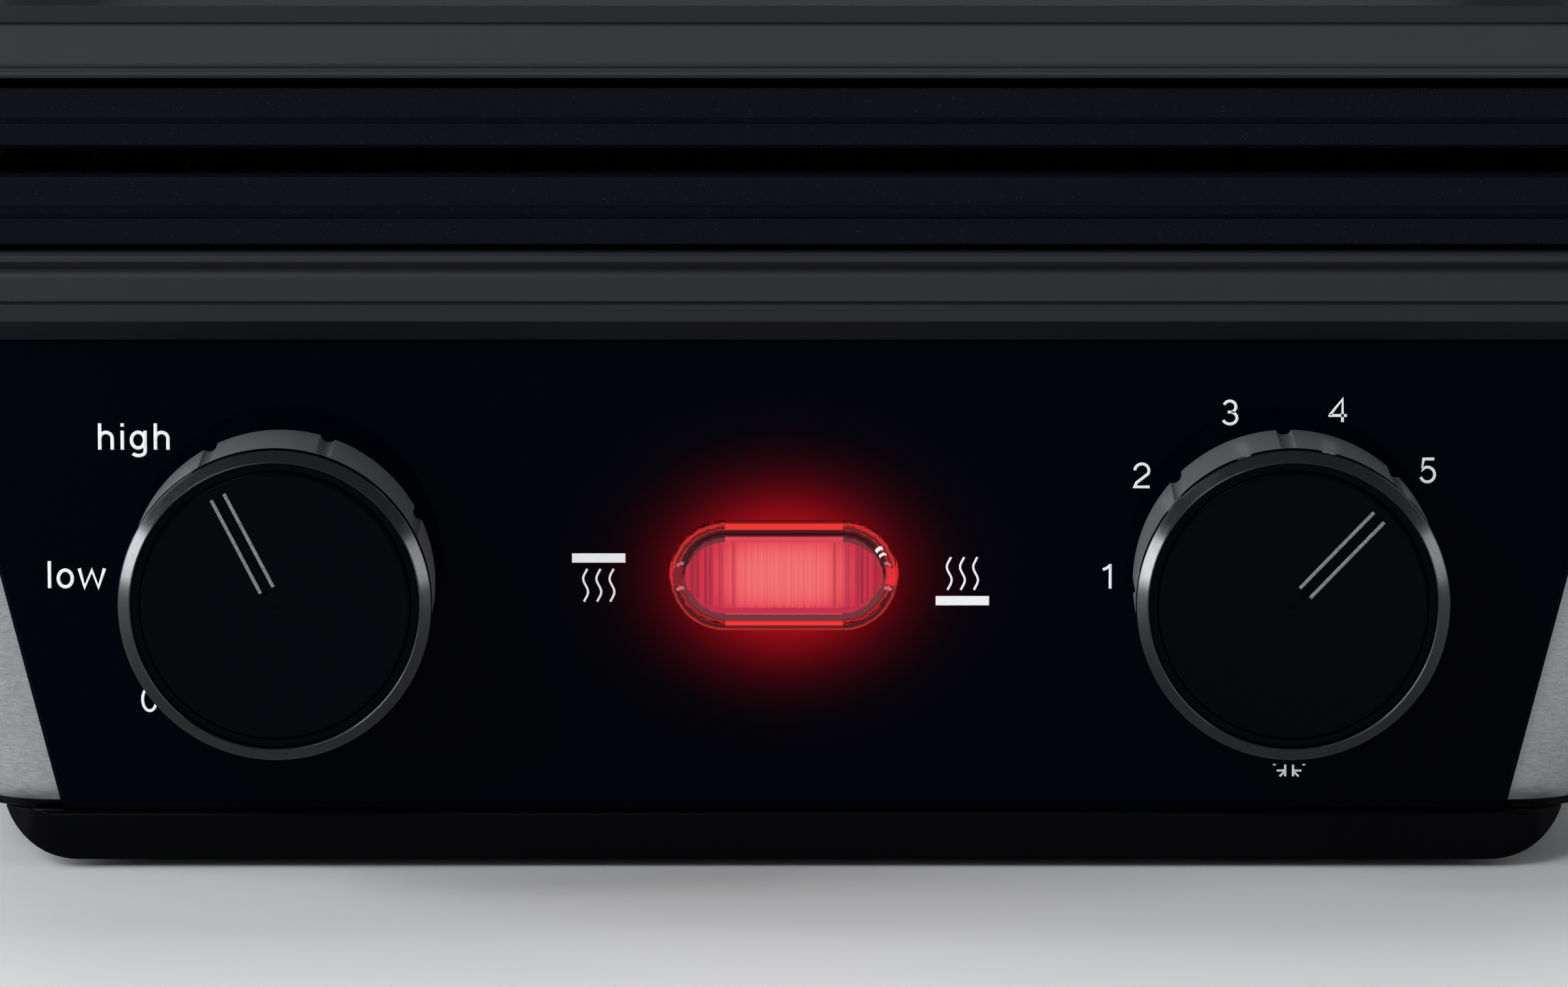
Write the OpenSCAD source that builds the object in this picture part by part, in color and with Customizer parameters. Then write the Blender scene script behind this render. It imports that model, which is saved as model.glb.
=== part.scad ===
// Electric indoor grill: two ribbed plates, a lid on floating side arms that folds out flat.
// X points right, Y to the back and Z up. The front faces -Y. Millimetres.

/* [Rims and plan] */
// Width of the rims that frame both plates
rim_w = 322; // [300:1:340]
// Depth of the rims
rim_d = 240; // [224:1:260]
// Plan radius of the rim corners
rim_r = 38; // [34:1:42]
// How far the rims stand out past the control panel
rim_overhang = 5; // [4:0.5:8]
// Height of the lower rim
rim_h = 6.9; // [6.5:0.1:9]
// Height of the upper rim
upper_rim_h = 7.8; // [7.2:0.1:10]
// Height of each trim ring between a rim and its shell
trim_h = 5.9; // [5:0.1:8]
// Height of the slanted edge of a trim ring
trim_slant = 3.3; // [2:0.1:4]

/* [Base] */
// Height that the rubber feet lift the pan
foot_h = 1.3; // [1:0.1:4]
// Radius of a rubber foot
foot_r = 9; // [6:0.5:12]
// Width of the base pan
pan_w = 224.4; // [210:0.1:228]
// Height of the pan below its flange
pan_h = 7.1; // [6.6:0.1:10]
// Rounding along the two lower side edges of the pan
pan_edge_r = 11.8; // [7.5:0.1:14]
// Rounding of the pan's upright corners
pan_corner_r = 8.3; // [5:0.1:12]
// Wall of the pan
pan_wall = 2.2; // [1.6:0.1:3]
// Thickness of the flange that the housing stands on
flange_t = 1.1; // [0.8:0.1:2]
// Height of the flared lower housing
housing_h = 66.6; // [62:0.1:80]
// Wall of the lower housing and of the lid shell
shell_wall = 2; // [1.5:0.1:3]
// Half width that the housing gains from bottom to top
flare = 39.5; // [30:0.5:44]

/* [Control panel] */
// How far the panel stands out from the housing
panel_proud = 2.5; // [2:0.1:4]
// Width of the panel along its lower edge
panel_w = 206; // [190:1:210]
// Slope of the panel's side edges, in degrees from vertical
panel_slope = 13.4; // [8:0.1:14]
// Distance between the two dials
dial_pitch = 142.6; // [120:0.1:150]
// Height of the dial axes above the panel's lower edge
dial_up = 33.1; // [28:0.1:40]
// Height of the lamp's centre above the panel's lower edge
lamp_up = 33.9; // [25:0.1:45]
// Width of the indicator lens
lens_w = 32.2; // [24:0.1:40]
// Height of the indicator lens
lens_h = 15.5; // [10:0.1:20]

/* [Dials] */
// Outer radius of a knob
knob_r = 22; // [18:0.1:24]
// How far a knob stands out from the panel
knob_len = 22; // [18:0.5:26]
// Width of the metal ring round the knob's face
ring_w = 1.8; // [1.2:0.1:3]
// Finger notches round the skirt
knob_notches = 8; // [6:1:12]
// Radius of a finger notch
notch_r = 1.2; // [0.8:0.1:2]
// Radius of the dial shafts
shaft_r = 3; // [2.5:0.1:4]
// Pointer of the left dial, in degrees from three o'clock
left_rest = 117; // [100:1:135]
// Pointer of the right dial, in degrees from three o'clock
right_rest = 46.5; // [30:0.5:60]

/* [Plates] */
// How far the plates stand inside the rims
plate_inset = 4; // [3:0.5:5]
// Shadow gap between the lower rim and its plate
lower_shadow = 1.1; // [0.8:0.1:2]
// Shadow gap between the upper plate and its rim
upper_shadow = 1.7; // [1:0.1:3]
// Height of the lower plate's edge
plate_h = 9.9; // [9:0.1:12]
// Height of the upper plate's edge
upper_plate_h = 8.6; // [8:0.1:11]
// Gap between the closed plates
plate_gap = 3.5; // [3:0.1:5]
// Thickness of a plate's floor
plate_floor = 4.5; // [3.5:0.1:6]
// Distance from rib to rib
rib_pitch = 14; // [11:0.5:20]
// Height of the ribs above the cooking floor
rib_h = 4.5; // [3:0.1:4.8]
// Radius of the tubular heating elements
element_r = 3.25; // [2.5:0.05:4]

/* [Lid] */
// Height of the lid shell above its trim ring
lid_h = 42.6; // [36:0.1:50]
// Reach of the handle in front of the rims
handle_reach = 43; // [36:1:55]
// Radius of the handle bar
handle_r = 10; // [8:0.5:12]
// Length of the handle bar between its brackets
handle_grip = 190; // [150:1:200]
// Thickness of a handle bracket
bracket_t = 16; // [12:0.5:20]

/* [Hinge] */
// Distance of the hinge shaft behind the rims
hinge_gap = 7; // [6.8:0.1:10]
// Radius of the hinge shaft and the lid pins
pin_r = 4; // [3:0.1:4.5]
// Radius of the arms round the hinge shaft
hub_r = 13; // [11:0.5:15]
// Height of the lid pins above the hinge shaft
pivot_up = 46; // [42:0.5:50]
// Distance of the lid pins in front of the hinge shaft
pivot_fore = 30; // [26:0.5:34]
// Thickness of an arm
arm_t = 6.4; // [5:0.1:8]
// Thickness of the cover on an arm
cover_t = 5; // [4:0.1:7]

/* [Drip tray] */
// Width of the drip tray
tray_w = 150; // [120:1:160]
// Length of the drip tray
tray_l = 86; // [70:1:95]
// Height of the drip tray
tray_h = 13.2; // [10:0.1:14]

/* [Hidden] */
$fn = 64;

eps = 0.01;
fit = 0.02;           // radial room of a seated pin
run = 0.06;           // radial room of a turning pin
slip = 0.2;           // room round a sliding piece
hull_fn = 48;         // sides of the circles inside a lofted hull

// Plan: the middle of the rims lies so that the whole grill is centred on the origin
yc = (handle_reach - hinge_gap - hub_r) / 2;
y_front = yc - rim_d / 2;
y_rear = yc + rim_d / 2;
side_x = rim_w / 2;
panel_y = y_front + rim_overhang;
shell_y = panel_y + panel_proud;
pan_y = panel_y;
hinge_y = y_rear + hinge_gap;

// Heights, from the feet up
z_flange = foot_h + pan_h;
z_shell = z_flange + flange_t;
z_trim = z_shell + housing_h;
z_rim = z_trim + trim_h;
z_rim_top = z_rim + rim_h;
z_plate = z_rim_top + lower_shadow;
z_plate_top = z_plate + plate_h;
hinge_z = z_plate_top + plate_gap / 2;
z_up_plate = z_plate_top + plate_gap;
z_up_plate_top = z_up_plate + upper_plate_h;
z_up_rim = z_up_plate_top + upper_shadow;
z_up_trim = z_up_rim + upper_rim_h;
z_lid = z_up_trim + trim_h;
z_lid_top = z_lid + lid_h;
dial_z = z_flange + dial_up;
lamp_z = z_flange + lamp_up;
dial_x = dial_pitch / 2;

// Inner ledges of the rims and trim rings
rim_t = 9;            // rim, from its face to its inner wall
ledge_t = 18;         // rim, from its face to the edge of its ledge
ledge_h = 2;
gutter_z = 1;         // gutter's floor above the back edge of a plate
floor_back = plate_floor - gutter_z;
floor_z = z_plate - floor_back;             // underside of the lower plate
up_floor_z = z_up_plate_top + floor_back;   // upper side of the upper plate
bead_h = 2;           // raised cooking floor above the gutter
bead_in = 21;         // raised cooking floor, in from the rims' face
rib_in = 25;          // ribs, in from the rims' face
sheet_t = 0.8;        // sheet metal of the reflectors
reflector_in = 24;
reflector_d = 11;

// Hinge
pivot_y = hinge_y - pivot_fore;
pivot_z = hinge_z + pivot_up;
arm_x = side_x + 0.6;
cover_x = arm_x + arm_t;
handle_y = y_front - handle_reach + handle_r;
handle_z = 2 * hinge_z - foot_h - handle_r;
bracket_x = handle_grip / 2;
post_w = 14;
post_x = 98;
post_d = hinge_gap + 4.5;   // a post, from the rims to its back

// Knob parts
skirt_gap = 0.5;
knob_y = panel_y - knob_len;
face_r = knob_r - ring_w;
ring_d = 3;
ring_slope = 1.1;     // fall of the ring's face from its inner to its outer edge

// Tray bay
bay_z = foot_h + pan_wall + 0.3;
pan_rear = y_rear - 24;
tray_y = pan_rear + 2 - tray_l;
tray_wall = 1.5;
tray_end = 3;
lip_w = 68;           // finger lip of the tray
drain_y = y_rear - 30;
drain_r = 4;
foot_in = 20;         // feet, in from the pan's front and rear edges
foot_x = pan_w / 2 - 22;
foot_y = [pan_y + foot_in, pan_rear - foot_in];

// Plate locks
lock_y = yc - 30;
lock_travel = 7;
lock_l = 10;
lock_h = 2.2;
lock_drop = 2;        // from the back of a plate's floor to the middle of the lock's tongue
lug_x = side_x - 26;

// ---------- Shared shapes ----------

module along_x(x, y, z) translate([x, y, z]) rotate([0, 90, 0]) children();
module along_y(x, y, z) translate([x, y, z]) rotate([-90, 0, 0]) children();

// The same shape on the left and on the right
module both() for (s = [0, 1]) mirror([s, 0, 0]) children();

// Stands a half of the grill on height z: dir 1 grows upwards, dir -1 downwards
module stack_from(z, dir) translate([0, 0, z]) mirror([0, 0, dir > 0 ? 0 : 1]) children();

// Rounded plate between two depths
module rounded_plate(half_w, front, rear, r, z, h) {
    translate([-half_w, front + r, z]) cube([2 * half_w, rear - front - 2 * r, h]);
    translate([-half_w + r, front, z]) cube([2 * (half_w - r), rear - front, h]);
    for (x = [-1, 1], y = [front + r, rear - r])
        translate([x * (half_w - r), y, z]) cylinder(h = h, r = r);
}

// Plate of the rims' plan, drawn in by inset
module plan_plate(z, h, inset) {
    rounded_plate(side_x - inset, y_front + inset, y_rear - inset, rim_r - inset, z, h);
}

// Sweeps a profile round the rims' plan. The profile's x is the distance out from the
// corner centres and its y is the height.
module round_plan() {
    lx = rim_w - 2 * rim_r;
    ly = rim_d - 2 * rim_r;
    translate([0, yc, 0]) for (s = [0, 1]) {
        mirror([0, s, 0]) translate([-lx / 2, ly / 2, 0])
            rotate([90, 0, 90]) linear_extrude(lx) children();
        mirror([s, 0, 0]) translate([lx / 2, ly / 2, 0])
            rotate([90, 0, 0]) linear_extrude(ly) children();
        for (t = [0, 1]) mirror([s, 0, 0]) mirror([0, t, 0])
            translate([lx / 2, ly / 2, 0]) rotate_extrude(angle = 90) children();
    }
}

// Thin rounded slab used as one station of a lofted shell
module station(z, half_w, front, rear, r) {
    for (x = [-1, 1], y = [front + r, rear - r])
        translate([x * (half_w - r), y, z]) cylinder(h = eps, r = r, $fn = hull_fn);
}

// Capsule lying across X, seen from the front, with its depth along Y
module capsule(w, h, depth) {
    r = h / 2;
    for (x = [-1, 1]) along_y(x * (w / 2 - r), 0, 0) cylinder(h = depth, r = r);
    translate([-w / 2 + r, 0, -r]) cube([w - 2 * r, depth, h]);
}

// ---------- Lofted shells ----------

// Lower housing: share of the height, of the side flare and of the rear flare, and radius
HOUSING = [[0, 0, 0, 12], [0.07, 0.14, 0.17, 16], [0.31, 0.46, 0.51, 22],
    [0.64, 0.77, 0.8, 28], [1, 1, 1, 33]];
housing_in = 5.5;     // top of the housing, in from the rims' face
rear_flare = 17.5;
foot_half = side_x - housing_in - flare;
foot_rear = y_rear - housing_in - rear_flare;

module housing_solid(inset) {
    hull() for (row = HOUSING) {
        over = inset > 0 ? (row[0] == 0 ? -1 : row[0] == 1 ? 1 : 0) : row[0] == 1 ? -eps : 0;
        station(z_shell + row[0] * housing_h + over,
            side_x - housing_in - flare * (1 - row[1]) - inset, shell_y + inset,
            y_rear - housing_in - rear_flare * (1 - row[2]) - inset, row[3] - inset);
    }
}

// Lid: its sides rise from foot to top along a quarter of an ellipse
lid_in = [5.5, 42];   // foot and flat top of the lid, in from the rims' face
lid_r = [32.5, 46];   // plan radius of its corners there
lid_step = 10;        // degrees of the ellipse from station to station

module lid_solid(inset) {
    hull() for (turn = [0:lid_step:90]) {
        share = 1 - cos(turn);
        in = lid_in[0] + (lid_in[1] - lid_in[0]) * share + inset;
        drop = inset > 0 ? (turn == 0 ? 1 : inset) : turn == 0 ? 0 : inset + eps;
        station(z_lid + lid_h * sin(turn) - drop, side_x - in, y_front + in, y_rear - in,
            lid_r[0] + (lid_r[1] - lid_r[0]) * share - inset);
    }
}

// ---------- Pieces that both halves have ----------

// Trim ring: height 0 is its shell side, and its face slants out to the rims' face
module trim_ring() {
    round_plan() polygon([
        [rim_r - rim_t, 0], [rim_r - housing_in + 0.5, 0], [rim_r, trim_slant],
        [rim_r, trim_h - 0.3], [rim_r - 0.4, trim_h], [rim_r - ledge_t, trim_h],
        [rim_r - ledge_t, trim_h - ledge_h], [rim_r - rim_t, trim_h - ledge_h]]);
}

// Rim: height 0 is its trim side. Its face rounds over into a groove and a narrow lip.
module rim_ring(h, groove_w, groove_d, lip_h, lip_in) {
    round = 1.2;
    face = h - lip_h - groove_w;
    round_plan() polygon(concat(
        [[rim_r - ledge_t, 0], [rim_r - 0.4, 0], [rim_r, 0.3]],
        [for (a = [0:22.5:67.5]) [rim_r - round * (1 - cos(a)), face - round * (1 - sin(a))]],
        [[rim_r - round, face], [rim_r - groove_d, face], [rim_r - groove_d, h - lip_h],
         [rim_r - lip_in, h - lip_h], [rim_r - lip_in, h - 0.5], [rim_r - lip_in - 0.5, h],
         [rim_r - rim_t, h], [rim_r - rim_t, ledge_h], [rim_r - ledge_t, ledge_h]]));
}

// Studs on a rim's ledge that carry the plate's floor
module plate_studs(h) {
    for (x = [-70, 70], y = [y_front + 14, y_rear - 14])
        translate([x, y, ledge_h - eps]) cylinder(h = h - ledge_h + eps, r = 3);
}

// Way through a rim for the tongue of a plate lock, at height z
module lock_slot(z) {
    translate([side_x - 22, lock_y - lock_l / 2 - slip, z - lock_h / 2 - slip])
        cube([30, lock_l + lock_travel + 2 * slip, lock_h + 2 * slip]);
}

rib_count = floor((rim_w / 2 - rib_in - 8) / rib_pitch);
rib_l = rim_d - 2 * rib_in;

// Cast plate: height 0 is its back edge and it grows towards the other plate
module grill_plate(h, step, step_w, step_out, step_in) {
    out = rim_r - plate_inset;
    inner = rim_r - plate_inset - 6;
    difference() {
        union() {
            round_plan() polygon([
                [inner, gutter_z], [inner - 2, 0], [out + step_out, 0], [out + step_out, step],
                [out - step_in, step], [out - step_in, step + step_w], [out, step + step_w],
                [out, h - 0.6], [out - 0.6, h], [out - 3, h], [out - 3.6, h - 0.4]]);
            plan_plate(-floor_back, plate_floor, rim_t + 2);
            plan_plate(0, gutter_z + bead_h, bead_in);
            for (i = [-rib_count:rib_count])
                translate([i * rib_pitch, y_front + rib_in, gutter_z + bead_h]) rib();
        }
        translate([0, 0, eps]) children();
    }
    // Lug that the lock's tongue holds
    difference() {
        translate([lug_x, lock_y - 9, -floor_back - lock_drop - 2.5])
            cube([7, 8, lock_drop + 2.5 + eps]);
        translate([lug_x + 2.6, lock_y - 10, -floor_back - lock_drop - lock_h / 2 - slip])
            cube([10, 10, lock_h + 2 * slip]);
    }
}

// One rib with drafted sides, running from front to back
module rib() {
    translate([0, rib_l, 0]) rotate([90, 0, 0]) linear_extrude(rib_l)
        polygon([[-3.4, 0], [3.4, 0], [2.2, rib_h - 0.5], [1.6, rib_h], [-1.6, rib_h], [-2.2, rib_h - 0.5]]);
}

// Reflector tray: height 0 is its seat on the trim ring's ledge
module reflector() {
    difference() {
        union() {
            plan_plate(0, sheet_t, rim_t + 0.4);
            plan_plate(0, reflector_d, reflector_in);
        }
        plan_plate(-eps, reflector_d - sheet_t + eps, reflector_in + sheet_t);
    }
}

// Tubular element: height 0 is its axis, and its cold ends bend away from the plate
element_x = side_x - 36;
element_d = rim_d / 2 - 46;
bend_r = 24;
end_x = 30;           // cold ends, from the middle
end_h = 5;
clip_w = 12;          // saddles of the element
clip_d = 8;
clip_y = 36;

module element() {
    for (s = [-1, 1]) {
        along_y(s * element_x, yc - element_d + bend_r, 0)
            cylinder(h = 2 * (element_d - bend_r), r = element_r);
        for (t = [-1, 1])
            translate([s * (element_x - bend_r), yc + t * (element_d - bend_r), 0])
                rotate([0, 0, s > 0 ? (t > 0 ? 0 : -90) : (t > 0 ? 90 : 180)])
                rotate_extrude(angle = 90) translate([bend_r, 0]) circle(r = element_r);
        translate([s * (end_x + element_r * 2), yc - element_d, 0]) {
            rotate([0, s * 90, 0]) cylinder(h = element_x - bend_r - end_x - element_r * 2, r = element_r);
            mirror([s > 0 ? 0 : 1, 0, 0]) translate([0, 0, element_r * 2]) rotate([90, 0, 0])
                rotate([0, 0, 180]) rotate_extrude(angle = 90)
                translate([element_r * 2, 0]) circle(r = element_r);
        }
        translate([s * end_x, yc - element_d, element_r * 2]) cylinder(h = end_h - element_r, r = element_r);
    }
    along_x(-element_x + bend_r, yc + element_d, 0)
        cylinder(h = 2 * (element_x - bend_r), r = element_r);
}

// Saddles that stand on the reflector and hold the element
module element_clips(reach) {
    for (x = [-1, 1], y = [-clip_y, clip_y]) difference() {
        translate([x * element_x - clip_w / 2, yc + y - clip_d / 2, 0]) cube([clip_w, clip_d, reach]);
        along_y(x * element_x, yc + y - clip_d, reach) cylinder(h = 2 * clip_d, r = element_r + fit);
    }
}

element_z = floor_z - element_r - 0.1;
up_element_z = up_floor_z + element_r + 0.1;
reflector_z = z_rim - ledge_h;
up_reflector_z = z_up_trim + ledge_h;

// ---------- Base ----------

shoulder_r = 0.9;     // rounding along the pan's upper edges

// Front view of the pan, drawn in by inset and cut off at the height top
module pan_outline(inset, top) {
    half = pan_w / 2 - inset;
    r = inset > 0 ? 0 : shoulder_r;
    intersection() {
        union() {
            for (x = [-1, 1])
                translate([x * (pan_w / 2 - pan_edge_r), foot_h + pan_edge_r]) circle(r = pan_edge_r - inset);
            translate([-pan_w / 2 + pan_edge_r, foot_h + inset]) square([pan_w - 2 * pan_edge_r, 24]);
        }
        union() {
            translate([-half, 0]) square([2 * half, top - r]);
            translate([-half + r + 0.6, 0]) square([2 * (half - r - 0.6), top]);
            if (r > 0) for (x = [-1, 1]) translate([x * (half - r - 0.6), top - r]) circle(r = r);
        }
    }
}

module pan_block(inset, top) {
    front = pan_y + inset;
    rear = pan_rear - inset;
    r = inset > 0 ? 0 : shoulder_r;
    intersection() {
        translate([0, rear, 0]) rotate([90, 0, 0]) linear_extrude(rear - front) pan_outline(inset, top);
        rounded_plate(pan_w / 2 - inset, front, rear, pan_corner_r - inset, 0, top);
        if (r > 0) union() {
            translate([-pan_w, front, 0]) cube([2 * pan_w, rear - front, top - r]);
            translate([-pan_w, front + r, 0]) cube([2 * pan_w, rear - front - r, top]);
            along_x(-pan_w, front + r, top - r) cylinder(h = 2 * pan_w, r = r);
        }
        else translate([-pan_w, front, 0]) cube([2 * pan_w, rear - front, top]);
    }
}

flange_screw_x = foot_half - 2.4;
flange_screw_r = 1.25;
flange_screw_l = 6;
flange_screw_fore = 60;     // from the middle of the rims to the front pair of screws
flange_screw_aft = 50;      // and to the rear pair
flange_screw_y = [yc - flange_screw_fore, yc + flange_screw_aft];
flange_half = max(foot_half, pan_w / 2);
flange_ring = 11;           // width of the flange's ring
vent_x = 50;          // middle of the air slots in the pan's floor
vent_l = 44;
vent_pitch = 9;

module base_pan() {
    color("#0c0c0e") difference() {
        union() {
            pan_block(0, z_flange);
            rounded_plate(flange_half, shell_y, foot_rear, 12, z_flange, flange_t);
            // Lap of the flange into the walls of the pan
            rounded_plate((pan_w - pan_wall) / 2, shell_y, pan_rear - pan_wall / 2, 12, z_flange - 0.4, 0.8);
        }
        pan_block(pan_wall, z_flange + 0.5);
        rounded_plate(foot_half - flange_ring, shell_y + 4, foot_rear - 4, 8, z_flange - 0.4, flange_t + 1);
        // Mouth of the tray bay
        translate([-tray_w / 2 - 1, pan_rear - 12, bay_z - 0.1]) cube([tray_w + 2, 20, 20]);
        for (x = [-1, 1], y = foot_y) translate([x * foot_x, y, 0]) cylinder(h = 6, r = 3 + fit);
        for (x = [-1, 1], y = flange_screw_y)
            translate([x * flange_screw_x, y, z_flange - 1]) cylinder(h = 4, r = flange_screw_r + fit);
        // Air slots in the floor
        for (x = [-1, 1], i = [0:7])
            translate([x * vent_x - vent_l / 2, pan_y + 40 + vent_pitch * i, 0]) cube([vent_l, 3.2, 6]);
    }
}

module rubber_feet() {
    color("#161616") for (x = [-1, 1], y = foot_y) translate([x * foot_x, y, 0]) {
        cylinder(h = 0.4, r1 = foot_r - 0.4, r2 = foot_r);
        translate([0, 0, 0.4]) cylinder(h = foot_h - 0.4, r = foot_r);
        translate([0, 0, foot_h - 0.1]) cylinder(h = pan_wall + 0.2, r = 3);
        translate([0, 0, foot_h + pan_wall]) cylinder(h = 1.2, r = 4.2);
    }
}

post_boss_z = [z_trim - 18, z_trim - 7];
post_screw_r = 2;
post_screw_in = 10;   // reach of the hinge post screws in front of the rims' rear face
post_mid = post_x + post_w / 2;
inlet_x = -60;
inlet_z = z_shell + 30;
bushing_r = 4.8;

module lower_housing() {
    color("#b4b5b9") difference() {
        union() {
            difference() {
                housing_solid(0);
                housing_solid(shell_wall);
            }
            // Bosses for the hinge posts, the cord inlet and the flange screws
            both() for (z = post_boss_z) along_y(post_mid, y_rear - 12, z) cylinder(h = 12, r = 4.5);
            along_y(inlet_x, y_rear - 19, inlet_z) cylinder(h = 12, r = 13);
            for (x = [-1, 1], y = flange_screw_y)
                translate([x * flange_screw_x, y, z_shell])
                    cylinder(h = flange_screw_l + 3, r = flange_screw_r + 1.05);
        }
        both() for (z = post_boss_z)
            along_y(post_mid, y_rear - 14, z) cylinder(h = 20, r = post_screw_r + fit);
        both() along_y(dial_x, shell_y - 5, dial_z) cylinder(h = 20, r = bushing_r + 0.2);
        translate([0, shell_y - 5, lamp_z]) capsule(lens_w + 0.6, lens_h + 0.6, 20);
        along_y(inlet_x, y_rear - 30, inlet_z) cylinder(h = 30, r = 8 + fit);
        for (x = [-1, 1], y = flange_screw_y)
            translate([x * flange_screw_x, y, z_shell - 1])
                cylinder(h = flange_screw_l + 1, r = flange_screw_r + fit);
        translate([-tray_w / 2 - 1, foot_rear - 20, z_shell - 1])
            cube([tray_w + 2, 40, bay_z + tray_h + 1 - z_shell + 1]);
        // Air slots in the rear wall
        for (i = [-5:5]) translate([20 + i * 7, y_rear - 40, z_shell + 22]) cube([3, 40, 22]);
    }
}

// Half width of the panel at a height above its lower edge
function panel_half(up) = panel_w / 2 + up * tan(panel_slope);

panel_edge = 0.5;      // bevel round the panel's face
panel_top_r = 3;       // rounding of the panel's upper corners
panel_foot_r = 1;      // and of its lower ones

module control_panel() {
    h = z_trim - z_flange;
    color("#050508") difference() {
        hull() for (x = [-1, 1], up = [0, h]) {
            r = up == 0 ? panel_foot_r : panel_top_r;
            z_off = up == 0 ? r : -r;
            along_y(x * (panel_half(up) - r), panel_y, z_flange + up + z_off) {
                cylinder(h = panel_edge, r1 = r - panel_edge, r2 = r, $fn = hull_fn);
                translate([0, 0, panel_edge]) cylinder(h = panel_proud - panel_edge, r = r, $fn = hull_fn);
            }
        }
        both() along_y(dial_x, panel_y - 1, dial_z) cylinder(h = 10, r = bushing_r + 0.2);
        translate([0, panel_y - 1, lamp_z]) capsule(lens_w + 0.4, lens_h + 0.4, 10);
    }
}

module lower_trim_ring() {
    color("#26282b") stack_from(z_trim, 1) trim_ring();
}

module lower_rim() {
    color("#34363a") difference() {
        stack_from(z_rim, 1) {
            rim_ring(rim_h, 0.9, 3, 1.3, 1.6);
            plate_studs(floor_z - z_rim);
        }
        lock_slot(floor_z - lock_drop);
    }
}

module lower_plate() {
    color("#14161c") stack_from(z_plate, 1) grill_plate(plate_h, 3.6, 1.7, 1, 0.8) {
        // Trough and drain that lead the fat down to the tray
        translate([-9, drain_y - 6, gutter_z]) cube([18, 24, 20]);
        translate([0, drain_y, -floor_back - 1]) cylinder(h = 20, r = drain_r);
    }
}

module lower_element() {
    color("#4a4640") stack_from(element_z, -1) element();
}

module lower_element_clips() {
    color("#c9c9c4") translate([0, 0, reflector_z - reflector_d + sheet_t])
        element_clips(element_z - reflector_z + reflector_d - sheet_t);
}

module lower_reflector() {
    color("#d2d3d3") difference() {
        stack_from(reflector_z, -1) reflector();
        translate([0, drain_y, reflector_z - 20]) cylinder(h = 30, r = drain_r + 1.3);
    }
}

module drain_chute() {
    color("#8f9092") difference() {
        union() {
            translate([0, drain_y, bay_z + tray_h + 1.5])
                cylinder(h = floor_z - bay_z - tray_h - 1.5, r = drain_r + 1);
            translate([0, drain_y, floor_z - 1.6]) cylinder(h = 1.6, r = drain_r + 5);
        }
        translate([0, drain_y, 0]) cylinder(h = floor_z + 1, r = drain_r);
    }
}

stat_y = shell_y + shell_wall + 0.2;
stat_w = 32;          // case of a dial thermostat
stat_d = 15;
bushing_l = 3;        // threaded bushing in front of the panel
nut_t = 2.4;

module thermostat() {
    cap = stat_w - 10;
    difference() {
        union() {
            translate([-stat_w / 2, stat_y, -stat_w / 2]) cube([stat_w, stat_d, stat_w]);
            translate([-cap / 2, stat_y + stat_d, -cap / 2]) cube([cap, 4, cap]);
            along_y(0, panel_y - bushing_l, 0) cylinder(h = stat_y - panel_y + bushing_l + 1, r = bushing_r);
            for (x = [-9, 9]) translate([x - 3, stat_y + stat_d + 4, -3]) cube([6, 7, 0.8]);
        }
        along_y(0, panel_y - bushing_l - 1, 0)
            cylinder(h = stat_y + stat_d - 3 - panel_y + bushing_l + 1, r = shaft_r + run);
    }
}

module left_thermostat() color("#ded9cc") translate([-dial_x, 0, dial_z]) thermostat();
module right_thermostat() color("#ded9cc") translate([dial_x, 0, dial_z]) thermostat();

module thermostat_nuts() {
    color("#b5b2a8") both() difference() {
        along_y(dial_x, panel_y - nut_t, dial_z) cylinder(h = nut_t, r = bushing_r + 3.2, $fn = 6);
        along_y(dial_x, panel_y - 5, dial_z) cylinder(h = 10, r = bushing_r + fit);
    }
}

lens_proud = 1.5;
lens_back = shell_y + shell_wall;
flute_pitch = 1.35;

module lamp_lens() {
    flutes = floor((lens_w / 2 - 4.5) / flute_pitch);
    color("#e8202c") translate([0, panel_y - lens_proud, lamp_z]) difference() {
        union() {
            translate([0, 0.5, 0]) capsule(lens_w, lens_h, lens_back - panel_y + lens_proud);
            capsule(lens_w - 0.8, lens_h - 0.8, 1);
            translate([0, lens_back - panel_y + lens_proud, 0]) capsule(lens_w + 4, lens_h + 4, 1.2);
        }
        // Dark channel inside the outer rim, then a fluted field
        difference() {
            translate([0, -1, 0]) capsule(lens_w - 1.9, lens_h - 1.9, 2.2);
            translate([0, -2, 0]) capsule(lens_w - 3.5, lens_h - 3.5, 4);
        }
        translate([0, -1, 0]) capsule(lens_w - 3.5 + eps, lens_h - 3.5 + eps, 1.35);
        for (i = [-flutes:flutes])
            translate([i * flute_pitch, 0.35, -lens_h / 2 + 3]) cylinder(h = lens_h - 6, r = 0.45, $fn = 16);
        along_x(-11, lens_back - panel_y + lens_proud + 2, 0) cylinder(h = 22, r = 3.6);
    }
}

holder_y = lens_back + 1.2;

module lamp_holder() {
    color("#e6e2d8") difference() {
        translate([-15, holder_y, lamp_z - 6]) cube([30, 9, 12]);
        along_x(-12, holder_y + 1.2, lamp_z) cylinder(h = 24, r = 3.1);
        translate([-12, holder_y - 1, lamp_z - 3.1]) cube([24, 2.2, 6.2]);
    }
}

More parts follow.
